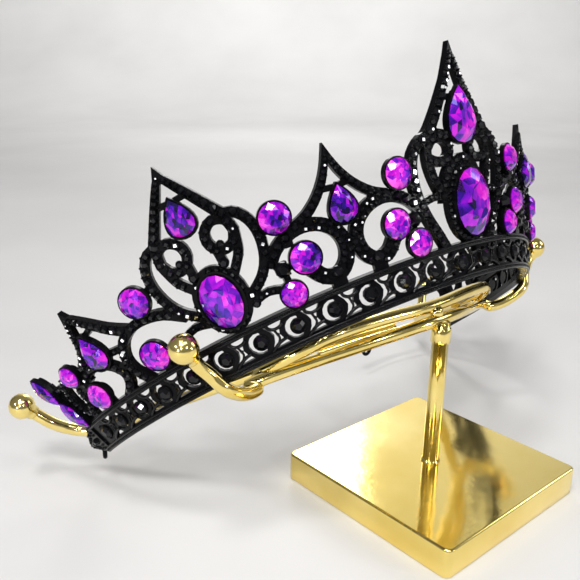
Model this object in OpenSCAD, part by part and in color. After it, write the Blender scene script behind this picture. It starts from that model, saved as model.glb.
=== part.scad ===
// Tiara with purple stones, resting on a gilt display stand. Millimetres, +Z up.

/* [Tiara] */
// Radius of the band's lower edge
ring_r = 72.4; // [71:0.2:74]
// Outward slope of the whole tiara, in degrees
flare = 25.5; // [24:0.5:27]
// Height of the pierced band
band_h = 9; // [8.6:0.1:9.4]
// Half of the arc that the band covers, in degrees
band_half = 95; // [92:1:97]
// Thickness of the openwork
plate_t = 1.6; // [1.4:0.1:2]

/* [Stones] */
// Wall of a stone's cup
cup_wall = 0.4; // [0.3:0.05:0.6]
// Clearance of a stone in its cup
stone_gap = 0.05; // [0.03:0.01:0.1]
// Height of a stone above its seat
stone_h = 2.3; // [1.8:0.1:2.6]
// Diameter of the band's small stones
bead_d = 3.2; // [2.8:0.1:3.4]

/* [Stand] */
// Side of the square foot
base_side = 58; // [56:1:64]
// Thickness of the foot
base_t = 8; // [7:0.5:10]
// Diameter of the post
post_d = 4.6; // [4:0.1:5.4]
// Height of the cradle's front rod above the table
rod_z = 50.5; // [50:0.1:51]
// Diameter of the cradle's rods
rod_d = 3.5; // [3.2:0.1:4]
// Diameter of the ball tips
ball_d = 7.2; // [6.6:0.2:7.6]

/* [Hidden] */
$fn = 48;
// how the tiara leans back on the cradle, and where its ring's centre lies
lean = 39.55;
tiara_at = [0, 47.54, 18.78];
sf = sin(flare);
cf = cos(flare);
plate_front = plate_t / 2;
seat_z = 1.4;
cup_back = -0.5;
rim_z = seat_z + 0.65;
collar_z = seat_z - 0.6;
stem_in = 0.7;
crest_h = 62;
rail_t = 2.4;
rail_h = 1.6;
web_t = 1.2;
// what keeps a loose piece clear of its seat
clear = 0.03;
// how much smaller the pointed stones are than their cups
leaf_slack = 0.08;

// angles of the five leaves along the ring; the right half mirrors the left
peak2_at = -25.3;
peak3_at = -48;
tail_at = -78;

// the pattern: x along the ring and h up the slope, both in mm, from each leaf's own axis

// stone columns: name, shape, x, h, width, length, turn in degrees
KIND = 1;
X = 2;
H = 3;
W = 4;
L = 5;
TURN = 6;
center_stones = [
    ["oval", "oval", 1, 19.1, 13, 16.4, 0],
    ["drop", "drop", 0, 40.7, 10, 13.7, 0]];
peak2_stones = [
    ["peak2_drop", "drop", 0, 27.4, 6.8, 9.3, 0],
    ["shoulder2_round", "round", 15.4, 29.9, 7.1, 7.1, 0],
    ["shoulder3_round", "round", -15.4, 29.9, 7.1, 7.1, 0],
    ["scroll2_round", "round", 11.5, 18.6, 6.9, 6.9, 0],
    ["scroll3_round", "round", -11.5, 18.9, 7.1, 7.1, 0],
    ["low2_round", "round", 16.2, 12.7, 6.4, 6.4, 0],
    ["low3_round", "round", -16.3, 12.3, 5.9, 5.9, 0]];
peak3_stones = [
    ["peak3_oval", "oval", -0.6, 17.9, 10.1, 13.6, 0],
    ["peak3_drop", "drop", 0, 39, 6.6, 9.3, 0],
    ["shoulder4_round", "round", -18.8, 27.2, 7.2, 7.2, 0],
    ["low4_round", "round", -13.8, 12.2, 5.7, 5.7, 0]];
tail_stones = [
    ["scroll4_round", "round", 19.5, 14.1, 7.2, 7.2, 0],
    ["peak4_drop", "drop", 5.9, 22.8, 7, 10, 0],
    ["tail_high_round", "round", -7.4, 21.7, 5.9, 5.9, 0],
    ["tail_low_round", "round", -3.1, 13.2, 7, 7, 0],
    ["tail_high_leaf", "leaf", -23.7, 23.7, 4.7, 10.4, 18],
    ["tail_low_leaf", "leaf", -19.3, 13.9, 4.7, 10.1, 20]];

function side_stones() = [for (group = [[peak2_at, peak2_stones], [peak3_at, peak3_stones],
                                        [tail_at, tail_stones]])
                          for (row = group[1]) [group[0], row]];
function stone_names(side) = [for (entry = side_stones()) str("stone_", side, "_", entry[1][0])];

// bar columns: width at the start, width at the end, the points that its middle passes
FROM_W = 0;
TO_W = 1;
ROUTE = 2;
center_bars = [
    [1.0, 3.0, [[0, 56.4], [-2.6, 50], [-4.2, 47], [-6.6, 43], [-9.9, 38.2], [-11.4, 36.6]]],
    [1.3, 1.3, [[-5.2, 45.3], [-1.2, 45.3]]],
    [2.4, 2.4, [[-4.6, 36], [-9, 36.9], [-13, 36.2], [-16, 33.3], [-16.9, 29.5], [-16.6, 25.5],
                [-15.4, 21.2], [-13.3, 16.8], [-10.8, 12.8], [-8.6, 9]]],
    [2.3, 2.3, [[-11.4, 34], [-9.6, 35.7], [-6.4, 35.8], [-4.3, 34], [-4.3, 31.6], [-6.3, 30.1],
                [-9.3, 30.3], [-11.6, 31.4]]],
    [2.2, 2.2, [[-11.6, 35.4], [-11.7, 31], [-10.9, 27.5], [-9.6, 24.4], [-8, 21.6]]],
    [1.7, 1.7, [[-15.2, 21.2], [-11.5, 22], [-7, 21.8]]],
    [2.2, 2.2, [[-7.7, 20], [-6.8, 25], [-4.4, 28.6], [0, 30.4], [4.4, 28.6], [6.8, 25], [7.7, 20]]],
    [2.0, 2.0, [[-5.2, 31.4], [-4.2, 28.4]]]];
peak2_bars = [
    [1.0, 2.4, [[0, 39.2], [-1.9, 34.7], [-4.6, 30.8], [-8.2, 27.7], [-12, 26]]],
    [1.3, 1.3, [[-3.4, 31.7], [-0.4, 31.3]]],
    [2.3, 3.6, [[-19.4, 20], [-17.4, 22.8], [-14, 24.9], [-10, 25.6], [-5.9, 24.5], [-2.7, 21.8],
                [-1.5, 18], [-2.5, 14.3], [-5.2, 12.2], [-8.4, 12.9], [-10.6, 15.4]]],
    [2.2, 2.2, [[-2, 18], [2, 18]]],
    [3.4, 3.4, [[-5.4, 12], [-5.4, 8.6]]],
    [1.3, 1.3, [[-19, 20.4], [-17, 18.2], [-11.5, 18.6]]],
    [1.3, 1.3, [[-17, 18.4], [-16.3, 12]]],
    [3.2, 3.2, [[-18.2, 18.2], [-15.8, 18.2]]],
    [1.6, 1.6, [[-17.9, 29.2], [-15.4, 29.9], [-14.4, 25.6]]],
    [2.0, 2.0, [[-16.3, 12], [-16.3, 8.6]]]];
peak3_bars = [
    [1.0, 2.6, [[0, 49], [-4.1, 42.6], [-8.6, 35.4]]],
    [1.3, 1.3, [[-4.2, 42.7], [-0.6, 42.5]]],
    [2.3, 2.3, [[-6.6, 35.4], [-10.8, 34.9], [-13.2, 31.8], [-13.7, 27.5], [-12.4, 22.5],
                [-9.6, 18.6], [-5, 15.4]]],
    [2.3, 2.3, [[-9.3, 31], [-8.6, 34], [-5.8, 35], [-3.2, 33.2], [-2.9, 30.2], [-4.9, 28.1],
                [-7.8, 28.6], [-9.4, 31.4]]],
    [2.1, 2.1, [[-9.2, 30.5], [-8, 26.4], [-6.2, 23.9], [-4.6, 22]]],
    [2.0, 2.0, [[-3.8, 29], [-3.8, 25]]],
    [1.7, 1.7, [[-5.6, 14], [-9.5, 14.9], [-13.8, 13.6]]],
    [1.6, 1.6, [[-19.4, 27.4], [-12.8, 28.2]]],
    [1.8, 1.8, [[-19.2, 27.2], [-18.4, 22.4]]]];
tail_bars = [
    [1.0, 2.6, [[4.9, 33.4], [9.3, 29.3], [13.3, 25.4], [17.4, 22.4]]],
    [1.0, 2.3, [[5.1, 33.4], [3.6, 29.8], [2, 25.6], [-0.6, 22.6], [-4, 20.6]]],
    [1.3, 1.3, [[3, 28], [6, 27.2], [10.2, 28.2]]],
    [2.3, 2.3, [[31.4, 18.2], [27.5, 21.3], [23, 22.6], [18.5, 22.4], [14.3, 20.6], [11.5, 17],
                [11.4, 13.2], [13.6, 8.8]]],
    [2.3, 2.3, [[-6.4, 17.4], [-1.8, 19.6], [2.6, 19.3], [6.2, 17.4], [8.1, 14.2], [7, 11.2],
                [4, 8.8]]],
    [2.0, 2.0, [[7.6, 15.6], [12, 15.9]]],
    [1.6, 1.6, [[7.4, 20.4], [13.4, 19.6]]],
    [1.9, 1.9, [[-9.4, 19.6], [-10.3, 16.6], [-10.6, 13.4], [-12.8, 11.2], [-15.2, 12.8],
                [-16.4, 17], [-15.2, 21.2], [-12.4, 22.2], [-10, 20.6], [-9.9, 17.6]]],
    [2.4, 2.4, [[-3.1, 18.6], [-7.4, 17.4], [-10.6, 17.4]]],
    [2.0, 2.0, [[-4, 20.6], [-7.4, 21.7], [-12, 22.2]]],
    [1.8, 1.8, [[-15.2, 21], [-19, 21.6], [-23, 21.6]]],
    [2.0, 2.0, [[-23.2, 24], [-21.4, 18], [-19.2, 14], [-17.9, 8.6]]],
    [2.0, 2.0, [[-15.2, 13.4], [-17, 12.6], [-19, 13.6]]],
    [2.4, 2.4, [[-12.8, 11.4], [-12.8, 8.6]]],
    [2.4, 2.4, [[-3.1, 13], [-3.1, 8.6]]],
    [2.0, 2.0, [[19.5, 13], [19.5, 8.6]]]];

// the four tips: half width at the foot, foot and point, each in its leaf
center_tip = [1.9, [0, 53.4], [0, 58.4]];
peak2_tip = [1.7, [0, 36.8], [0, 41.2]];
peak3_tip = [1.9, [0, 47], [0, 51]];
tail_tip = [1.7, [5.1, 31.6], [4.8, 35.2]];

// the cone that everything lies on

function cone_r(h) = ring_r + h * sf;
function turn_of(x, h) = asin(x / cone_r(h));
// a point of the pattern as seen along the leaf's own normal
function flat(p) = let (c = cos(turn_of(p.x, p.y)))
    [p.x, p.y * (sf * sf * c + cf * cf) - sf * ring_r * (1 - c)];

module on_cone(turn, h, lift = 0) {
    rotate([0, 0, turn])
        translate([0, -cone_r(h), h * cf])
            rotate([90 + flare, 0, 0])
                translate([0, 0, lift])
                    children();
}

// a strip that follows the cone; its section is given as [distance from the cone, height up the slope]
module cone_strip(section, half_angle) {
    rotate([0, 0, -90 - half_angle])
        rotate_extrude(angle = 2 * half_angle)
            polygon([for (p = section) [cone_r(p[1]) + p[0] * cf, p[1] * cf - p[0] * sf]]);
}
function plain_section(low, high, t) = [[-t / 2, low], [t / 2, low], [t / 2, high], [-t / 2, high]];

module tiara_pose() {
    translate(tiara_at) rotate([-lean, 0, 0]) children();
}

// bars

bar_steps = 3;
bar_grow = 0.1;

// one point of a smooth curve through the route's points
function route_at(r, i, t) = let (
    a = r[max(i - 1, 0)], b = r[i], c = r[i + 1], d = r[min(i + 2, len(r) - 1)])
    0.5 * (2 * b + (c - a) * t + (2 * a - 5 * b + 4 * c - d) * t * t
           + (3 * b - a - 3 * c + d) * t * t * t);
function smooth(r) = len(r) < 3 ? r
    : concat([for (i = [0:len(r) - 2]) for (k = [0:bar_steps - 1]) route_at(r, i, k / bar_steps)],
             [r[len(r) - 1]]);
function unit(v) = v / norm(v);
function heading(r, i) = unit(r[min(i + 1, len(r) - 1)] - r[max(i - 1, 0)]);
function side_point(r, i, w) = let (d = heading(r, i)) r[i] + [-d.y, d.x] * w / 2;
function bar_outline(bar) = let (
    r = [for (p = smooth(bar[ROUTE])) flat(p)], n = len(r) - 1,
    width = [for (i = [0:n]) bar[FROM_W] + (bar[TO_W] - bar[FROM_W]) * sqrt(i / n)])
    concat([for (i = [0:n]) side_point(r, i, width[i])], [for (i = [n:-1:0]) side_point(r, i, -width[i])]);

module bars(table) {
    for (bar = table) polygon(bar_outline(bar));
}

// a ring of the pattern round a stone: its middle line's half axes and its width
module halo(row, rx, ry, w) {
    difference() {
        polygon([for (i = [0:31]) flat([row[X] + (rx + w / 2) * sin(i * 11.25),
                                        row[H] + (ry + w / 2) * cos(i * 11.25)])]);
        polygon([for (i = [0:31]) flat([row[X] + (rx - w / 2) * sin(i * 11.25),
                                        row[H] + (ry - w / 2) * cos(i * 11.25)])]);
    }
}

module tip(t) {
    polygon([t[1] - [t[0], 0], t[2], t[1] + [t[0], 0]]);
}

// a leaf's flat pattern pushed through the cone
module leaf(turn) {
    on_cone(turn, 0)
        translate([0, 0, -6.5])
            linear_extrude(8.5)
                offset(delta = bar_grow)
                    children();
}

module both_ways() {
    children();
    mirror([1, 0]) children();
}

module crest() {
    intersection() {
        cone_strip(plain_section(band_h - 0.6, crest_h, plate_t), band_half + 8);
        union() {
            leaf(0) {
                both_ways() bars(center_bars);
                tip(center_tip);
                halo(center_stones[0], 7, 9.2, 1.8);
            }
            both_sides() {
                leaf(peak2_at) {
                    both_ways() bars(peak2_bars);
                    tip(peak2_tip);
                }
                leaf(peak3_at) {
                    both_ways() bars(peak3_bars);
                    tip(peak3_tip);
                    halo(peak3_stones[0], 5.5, 7.3, 2);
                }
                leaf(tail_at) {
                    bars(tail_bars);
                    tip(tail_tip);
                }
            }
        }
    }
}

module both_sides() {
    children();
    mirror([1, 0, 0]) children();
}

// stones and their cups

outline_n = 16;

function outline_point(kind, a) =
    kind == "drop" ? [sin(a) * sin(a / 2) / 0.77, cos(a)]
    : kind == "leaf" ? [sign(sin(a)) * pow(abs(sin(a)), 1.6), cos(a)]
    : [sin(a), cos(a)];
// the outline of a stone, grown on all sides
function stone_outline(row, grow, n) = [for (i = [0:n - 1]) let (
    p = outline_point(row[KIND], -360 * (i + 0.5) / n))
    [p.x * (row[W] / 2 + grow), p.y * (row[L] / 2 + grow)]];

module placed(at, row, lift) {
    on_cone(at + turn_of(row[X], row[H]), row[H], lift) rotate([0, 0, row[TURN]]) children();
}

module cup_shape(row, grow, low, high) {
    n = outline_n + outline_n / 2;
    translate([0, 0, low]) {
        if (row[KIND] == "round") cylinder(d = row[W] + 2 * grow, h = high - low);
        else linear_extrude(high - low) polygon(stone_outline(row, grow, n));
    }
}

module cup(at, row) {
    placed(at, row, 0)
        difference() {
            union() {
                cup_shape(row, stone_gap + cup_wall, collar_z, rim_z);
                cup_shape(row, -stem_in, cup_back, collar_z + 0.1);
            }
            cup_shape(row, stone_gap, seat_z, rim_z + 1);
        }
}

// a cut stone: flat back, girdle, a ring of kite facets and a table
module cut_stone(outline, top, girdle_z, back_scale, table_scale) {
    n = len(outline);
    half = n / 2;
    back = [for (p = outline) [p.x * back_scale, p.y * back_scale, 0]];
    girdle = [for (p = outline) [p.x, p.y, girdle_z]];
    table = [for (i = [0:half - 1]) let (p = (outline[2 * i] + outline[2 * i + 1]) / 2)
        [p.x * table_scale, p.y * table_scale, top]];
    sides = [for (i = [0:n - 1]) let (j = (i + 1) % n) for (f = [[i, n + i, n + j], [i, n + j, j]]) f];
    crown = [for (i = [0:half - 1]) let (
        a = n + 2 * i, b = a + 1, c = n + (2 * i + 2) % n, t = 2 * n + i, u = 2 * n + (i + 1) % half)
        for (f = [[a, t, b], [b, t, u], [b, u, c]]) f];
    polyhedron(concat(back, girdle, table),
               concat([[for (i = [0:n - 1]) i]], sides, crown, [[for (i = [half - 1:-1:0]) 2 * n + i]]));
}

module stone(at, row) {
    placed(at, row, seat_z + clear)
        cut_stone(stone_outline(row, row[KIND] == "leaf" ? -leaf_slack : 0, outline_n),
                  stone_h * min(1.25, 0.55 + row[W] / 16), 0.9, 0.9, 0.6);
}

// the band

cells = 26;
cell_turn = 2 * (band_half - 2) / cells;
cell_h = 4.8;
half_cell = cell_turn * ring_r * PI / 360;
hole_out_r = 2.6;
hole_in_r = 1.75;
seat_shift = 0.5;
bead_n = 10;

function arc(c, r, from, to, n) = [for (i = [0:n]) let (a = from + (to - from) * i / n)
    [c + r * cos(a), r * sin(a)]];

module each_cell(lift) {
    for (i = [0:cells - 1])
        on_cone(-band_half + 2 + cell_turn * (i + 0.5), cell_h, lift)
            children();
}

module band() {
    r = rail_t / 2;
    w = web_t / 2;
    top_h = band_h - 1;
    end_h = band_h + 0.6;
    difference() {
        cone_strip([[-r, 0], [r, 0], [r, rail_h], [w, rail_h], [w, top_h], [r, top_h], [r, end_h],
                    [-r, end_h], [-r, top_h], [-w, top_h], [-w, rail_h], [-r, rail_h]], band_half);
        each_cell(-3)
            linear_extrude(6) {
                // crescent beside the small stone
                polygon(concat(arc(0, hole_out_r, 70, 290, 8), arc(seat_shift, hole_in_r, 290, 70, 6)));
                // the waisted gap between two cells' rings
                translate([half_cell, 0])
                    polygon([[-2.3, 2.9], [2.3, 2.9], [1.2, 1.4], [0.7, 0], [1.2, -1.4], [2.3, -2.9],
                             [-2.3, -2.9], [-1.2, -1.4], [-0.7, 0], [-1.2, 1.4]]);
            }
    }
    // the ends taper to a nub
    intersection() {
        cone_strip(plain_section(-1, band_h + 1, rail_t - 0.2), band_half + 12);
        both_sides() leaf(-band_half)
            polygon([[2, 0.8], [-1, 0.8], [-8.6, 3.6], [-8.8, 5], [-3.5, 7.6], [2, 9]]);
    }
}

module band_stone() {
    outline = [for (i = [0:bead_n - 1]) let (a = -360 * (i + 0.5) / bead_n)
        [bead_d / 2 * sin(a), bead_d / 2 * cos(a)]];
    cut_stone(outline, 1.2, 0.4, 0.95, 0.6);
}

// rods

wire_sides = 10;

// a wire swept along a smooth route; no length of a route runs along the y axis
module wire(route, d) {
    path = smooth(route);
    n = len(path);
    rings = [for (i = [0:n - 1]) let (t = heading(path, i), u = unit(cross(t, [0, 1, 0])), v = cross(u, t))
        for (k = [0:wire_sides - 1]) let (a = 360 * k / wire_sides)
            path[i] + d / 2 * (u * cos(a) + v * sin(a))];
    walls = [for (i = [0:n - 2]) for (k = [0:wire_sides - 1])
        let (a = i * wire_sides + k, b = i * wire_sides + (k + 1) % wire_sides)
            for (f = [[a, b, b + wire_sides], [a, b + wire_sides, a + wire_sides]]) f];
    polyhedron(rings, concat(walls, [[for (k = [wire_sides - 1:-1:0]) k],
                                     [for (k = [0:wire_sides - 1]) (n - 1) * wire_sides + k]]));
}

// sub-parts

// eyes for the hair, soldered to the band's ends
eye_wire = 1.3;
eye_r = 1.9;
left_eye = [[-72.6, 56.8, 15.4], [-71.2, 59.6, 11.6]];
right_wire = [[72.8, 57, 15], [66, 61, 12.4], [52, 63, 11.6], [41, 62.4, 11.4]];

module wire_eye(route) {
    wire(route, eye_wire);
    last = route[len(route) - 1];
    out = unit(last - route[len(route) - 2]);
    translate(last + out * eye_r)
        rotate([90, 0, atan2(out.y, out.x)])
            rotate_extrude()
                translate([eye_r, 0]) circle(d = eye_wire);
}

module tiara_frame() color("#141418") {
    tiara_pose() {
        crest();
        band();
        for (row = center_stones) cup(0, row);
        both_sides()
            for (entry = side_stones()) cup(entry[0], entry[1]);
    }
    wire_eye(left_eye);
    wire_eye(right_wire);
}

module band_stones() color("#050507") tiara_pose()
    each_cell(web_t / 2 + clear)
        translate([seat_shift, 0, 0])
            band_stone();

module stand_foot() color("#d9b64a") {
    corner_r = 2;
    linear_extrude(base_t)
        offset(r = corner_r)
            square(base_side - 2 * corner_r, center = true);
}

// the back wire, right half: over the post, along a leg and up to its ball
back_wire = [[0, 3.4, rod_z + 3.4], [18, 5.8, rod_z + 2.9], [31, 8.8, rod_z + 1.1], [39.5, 14.2, 47],
             [46, 23.2, 40.2], [60, 44, 27.5], [69.3, 61, 16.8], [73.3, 66.1, 15], [77.2, 69.2, 15.8],
             [81, 70.8, 18], [84.5, 73.4, 21]];
back_ball = [87.7, 74.6, 24];
// the front wire, right half: over the post, under the band and up to its ball
front_wire = [[0, 1.2, rod_z], [45.5, 19.2, 40.2], [49.6, 17.4, 39], [54.5, 15.6, 40], [59.3, 13.8, 42.6],
              [62.2, 13.7, 44.8], [64.6, 15.4, 47.8], [67.8, 16.5, 51.4]];
front_ball = [71, 16.6, 55.8];
// where the two wires are soldered together: over the post and under the band
post_weld = [0, 2.3, rod_z + 1.7];
side_weld = [45.7, 21.2, 40.2];
// the whole wire from its right half
function whole(r) = concat([for (i = [len(r) - 1:-1:1]) [-r[i].x, r[i].y, r[i].z]], r);

module ball(at, d) {
    translate(at) sphere(d = d, $fn = 24);
}

module stand_cradle() color("#d9b64a") {
    translate([0, 0, base_t]) {
        cylinder(d = post_d, h = rod_z - base_t);
        cylinder(d = post_d + 1.4, h = 1);
    }
    translate([0, 0, rod_z - 6]) cylinder(d = post_d + 0.8, h = 4.4);
    wire(whole(concat(back_wire, [back_ball])), rod_d);
    wire(whole(concat(front_wire, [front_ball])), rod_d);
    ball(post_weld, rod_d + 1.1);
    both_sides() {
        ball(side_weld, rod_d + 0.9);
        ball(back_ball, ball_d);
        ball(front_ball, ball_d);
    }
}

tiara_frame();
band_stones();
stand_foot();
stand_cradle();
for (row = center_stones)
    color("#9a20e0") tiara_pose() stone(0, row);
for (entry = side_stones()) {
    color("#9a20e0") tiara_pose() stone(entry[0], entry[1]);
    color("#9a20e0") tiara_pose() mirror([1, 0, 0]) stone(entry[0], entry[1]);
}
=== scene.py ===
"""Dresses the tiara and its display stand: cut stones, fine stones, wires, gilt and a studio."""
import math
import random

import bpy
from mathutils import Matrix, Vector


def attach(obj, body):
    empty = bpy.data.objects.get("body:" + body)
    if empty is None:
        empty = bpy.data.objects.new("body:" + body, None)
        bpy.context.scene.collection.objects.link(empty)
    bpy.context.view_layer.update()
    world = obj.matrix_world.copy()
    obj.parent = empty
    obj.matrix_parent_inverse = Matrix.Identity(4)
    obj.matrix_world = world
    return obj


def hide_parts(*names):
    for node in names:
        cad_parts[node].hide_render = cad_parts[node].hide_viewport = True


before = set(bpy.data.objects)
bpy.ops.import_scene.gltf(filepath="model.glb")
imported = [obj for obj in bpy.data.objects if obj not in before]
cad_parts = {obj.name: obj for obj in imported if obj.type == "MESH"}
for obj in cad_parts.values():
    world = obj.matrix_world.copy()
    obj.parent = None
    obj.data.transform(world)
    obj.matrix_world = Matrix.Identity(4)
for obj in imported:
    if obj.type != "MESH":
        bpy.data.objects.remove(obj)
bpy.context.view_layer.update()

# ---------------------------------------------------------------- sizes, in mm as in the part's source
MM = 0.001
RING_R = 72.4                   # the cone's radius at the band's lower edge
FLARE = math.radians(25.5)      # the cone opens upward by this
LEAN = math.radians(39.55)      # the tiara leans back by this
TIARA_AT = Vector((0.0, 47.54, 18.78))
PLATE_FRONT = 0.8               # heights off the cone: the leaves' front,
WEB_FRONT = 0.6                 # the band's web,
SEAT_Z = 1.4                    # and the floor of a stone's cup
CLEAR = 0.03                    # between a cup's floor and its stone
STONE_H = 2.3
BAND_H = 9.0
BAND_HALF = 95.0                # degrees from the middle to each end of the band
BAND_PLAIN = 2.0                # degrees of plain band at each end
CELLS = 26
CELL_TURN = 2 * (BAND_HALF - BAND_PLAIN) / CELLS
CELL_H = 4.8                    # the middle of a cell's stone
SEAT_SHIFT = 0.5
BEAD_D = 3.2                    # a cell's stone
ROD_Z = 50.5                    # the cradle's wires over the post
ROD_D = 3.5
STIFFENER_D = 2.8
BALL_D = 7.2
POST_D = 4.6
BASE_SIDE = 58.0
BASE_T = 8.0
BASE_CORNER = 2.0

SIN_FLARE, COS_FLARE = math.sin(FLARE), math.cos(FLARE)
SIN_LEAN, COS_LEAN = math.sin(LEAN), math.cos(LEAN)

# the middles of the left leaves, in degrees round the cone
PEAK2_AT, PEAK3_AT, TAIL_AT = -25.3, -48.0, -78.0

# name, kind, x, h, width, length, turn
CENTER_STONES = [
    ("oval", "oval", 1, 19.1, 13, 16.4, 0),
    ("drop", "drop", 0, 40.7, 10, 13.7, 0)]
PEAK2_STONES = [
    ("peak2_drop", "drop", 0, 27.4, 6.8, 9.3, 0),
    ("shoulder2_round", "round", 15.4, 29.9, 7.1, 7.1, 0),
    ("shoulder3_round", "round", -15.4, 29.9, 7.1, 7.1, 0),
    ("scroll2_round", "round", 11.5, 18.6, 6.9, 6.9, 0),
    ("scroll3_round", "round", -11.5, 18.9, 7.1, 7.1, 0),
    ("low2_round", "round", 16.2, 12.7, 6.4, 6.4, 0),
    ("low3_round", "round", -16.3, 12.3, 5.9, 5.9, 0)]
PEAK3_STONES = [
    ("peak3_oval", "oval", -0.6, 17.9, 10.1, 13.6, 0),
    ("peak3_drop", "drop", 0, 39, 6.6, 9.3, 0),
    ("shoulder4_round", "round", -18.8, 27.2, 7.2, 7.2, 0),
    ("low4_round", "round", -13.8, 12.2, 5.7, 5.7, 0)]
TAIL_STONES = [
    ("scroll4_round", "round", 19.5, 14.1, 7.2, 7.2, 0),
    ("peak4_drop", "drop", 5.9, 22.8, 7, 10, 0),
    ("tail_high_round", "round", -7.4, 21.7, 5.9, 5.9, 0),
    ("tail_low_round", "round", -3.1, 13.2, 7, 7, 0),
    ("tail_high_leaf", "leaf", -23.7, 23.7, 4.7, 10.4, 18),
    ("tail_low_leaf", "leaf", -19.3, 13.9, 4.7, 10.1, 20)]

# width at the start, width at the end, the points (x, h) that a bar's middle passes
CENTER_BARS = [
    (1.0, 3.0, [(0, 56.4), (-2.6, 50), (-4.2, 47), (-6.6, 43), (-9.9, 38.2), (-11.4, 36.6)]),
    (1.3, 1.3, [(-5.2, 45.3), (-1.2, 45.3)]),
    (2.4, 2.4, [(-4.6, 36), (-9, 36.9), (-13, 36.2), (-16, 33.3), (-16.9, 29.5), (-16.6, 25.5),
                (-15.4, 21.2), (-13.3, 16.8), (-10.8, 12.8), (-8.6, 9)]),
    (2.3, 2.3, [(-11.4, 34), (-9.6, 35.7), (-6.4, 35.8), (-4.3, 34), (-4.3, 31.6), (-6.3, 30.1),
                (-9.3, 30.3), (-11.6, 31.4)]),
    (2.2, 2.2, [(-11.6, 35.4), (-11.7, 31), (-10.9, 27.5), (-9.6, 24.4), (-8, 21.6)]),
    (1.7, 1.7, [(-15.2, 21.2), (-11.5, 22), (-7, 21.8)]),
    (2.2, 2.2, [(-7.7, 20), (-6.8, 25), (-4.4, 28.6), (0, 30.4), (4.4, 28.6), (6.8, 25), (7.7, 20)]),
    (2.0, 2.0, [(-5.2, 31.4), (-4.2, 28.4)])]
PEAK2_BARS = [
    (1.0, 2.4, [(0, 39.2), (-1.9, 34.7), (-4.6, 30.8), (-8.2, 27.7), (-12, 26)]),
    (1.3, 1.3, [(-3.4, 31.7), (-0.4, 31.3)]),
    (2.3, 3.6, [(-19.4, 20), (-17.4, 22.8), (-14, 24.9), (-10, 25.6), (-5.9, 24.5), (-2.7, 21.8),
                (-1.5, 18), (-2.5, 14.3), (-5.2, 12.2), (-8.4, 12.9), (-10.6, 15.4)]),
    (2.2, 2.2, [(-2, 18), (2, 18)]),
    (1.3, 1.3, [(-19, 20.4), (-17, 18.2), (-11.5, 18.6)]),
    (1.3, 1.3, [(-17, 18.4), (-16.3, 12)]),
    (1.6, 1.6, [(-17.9, 29.2), (-15.4, 29.9), (-14.4, 25.6)])]
PEAK3_BARS = [
    (1.0, 2.6, [(0, 49), (-4.1, 42.6), (-8.6, 35.4)]),
    (1.3, 1.3, [(-4.2, 42.7), (-0.6, 42.5)]),
    (2.3, 2.3, [(-6.6, 35.4), (-10.8, 34.9), (-13.2, 31.8), (-13.7, 27.5), (-12.4, 22.5),
                (-9.6, 18.6), (-5, 15.4)]),
    (2.3, 2.3, [(-9.3, 31), (-8.6, 34), (-5.8, 35), (-3.2, 33.2), (-2.9, 30.2), (-4.9, 28.1),
                (-7.8, 28.6), (-9.4, 31.4)]),
    (2.1, 2.1, [(-9.2, 30.5), (-8, 26.4), (-6.2, 23.9), (-4.6, 22)]),
    (2.0, 2.0, [(-3.8, 29), (-3.8, 25)]),
    (1.7, 1.7, [(-5.6, 14), (-9.5, 14.9), (-13.8, 13.6)]),
    (1.6, 1.6, [(-19.4, 27.4), (-12.8, 28.2)]),
    (1.8, 1.8, [(-19.2, 27.2), (-18.4, 22.4)])]
TAIL_BARS = [
    (1.0, 2.6, [(4.9, 33.4), (9.3, 29.3), (13.3, 25.4), (17.4, 22.4)]),
    (1.0, 2.3, [(5.1, 33.4), (3.6, 29.8), (2, 25.6), (-0.6, 22.6), (-4, 20.6)]),
    (1.3, 1.3, [(3, 28), (6, 27.2), (10.2, 28.2)]),
    (2.3, 2.3, [(31.4, 18.2), (27.5, 21.3), (23, 22.6), (18.5, 22.4), (14.3, 20.6), (11.5, 17),
                (11.4, 13.2), (13.6, 8.8)]),
    (2.3, 2.3, [(-6.4, 17.4), (-1.8, 19.6), (2.6, 19.3), (6.2, 17.4), (8.1, 14.2), (7, 11.2),
                (4, 8.8)]),
    (2.0, 2.0, [(7.6, 15.6), (12, 15.9)]),
    (1.6, 1.6, [(7.4, 20.4), (13.4, 19.6)]),
    (1.9, 1.9, [(-9.4, 19.6), (-10.3, 16.6), (-10.6, 13.4), (-12.8, 11.2), (-15.2, 12.8),
                (-16.4, 17), (-15.2, 21.2), (-12.4, 22.2), (-10, 20.6), (-9.9, 17.6)]),
    (2.4, 2.4, [(-3.1, 18.6), (-7.4, 17.4), (-10.6, 17.4)]),
    (2.0, 2.0, [(-4, 20.6), (-7.4, 21.7), (-12, 22.2)]),
    (1.8, 1.8, [(-15.2, 21), (-19, 21.6), (-23, 21.6)]),
    (2.0, 2.0, [(-23.2, 24), (-21.4, 18), (-19.2, 14), (-17.9, 8.6)]),
    (2.0, 2.0, [(-15.2, 13.4), (-17, 12.6), (-19, 13.6)])]
# the rings round two ovals: stone, half axes of the ring's middle line, width
CENTER_HALO = (CENTER_STONES[0], 7, 9.2, 1.8)
PEAK3_HALO = (PEAK3_STONES[0], 5.5, 7.3, 2)

# single black stones where scrolls meet: leaf, x, h, diameter
SINGLE_STONES = [
    (PEAK2_AT, 17, 18.2, 3.9), (PEAK2_AT, -17, 18.2, 3.9), (PEAK2_AT, 5.4, 12.9, 3.0),
    (PEAK2_AT, -5.4, 12.9, 3.0), (PEAK3_AT, 5.2, 29.6, 1.9), (PEAK3_AT, -5.2, 29.6, 1.9),
    (PEAK3_AT, 3.8, 25.4, 2.7), (PEAK3_AT, -3.8, 25.4, 2.7), (PEAK3_AT, 5.9, 13.7, 2.2)]

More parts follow.
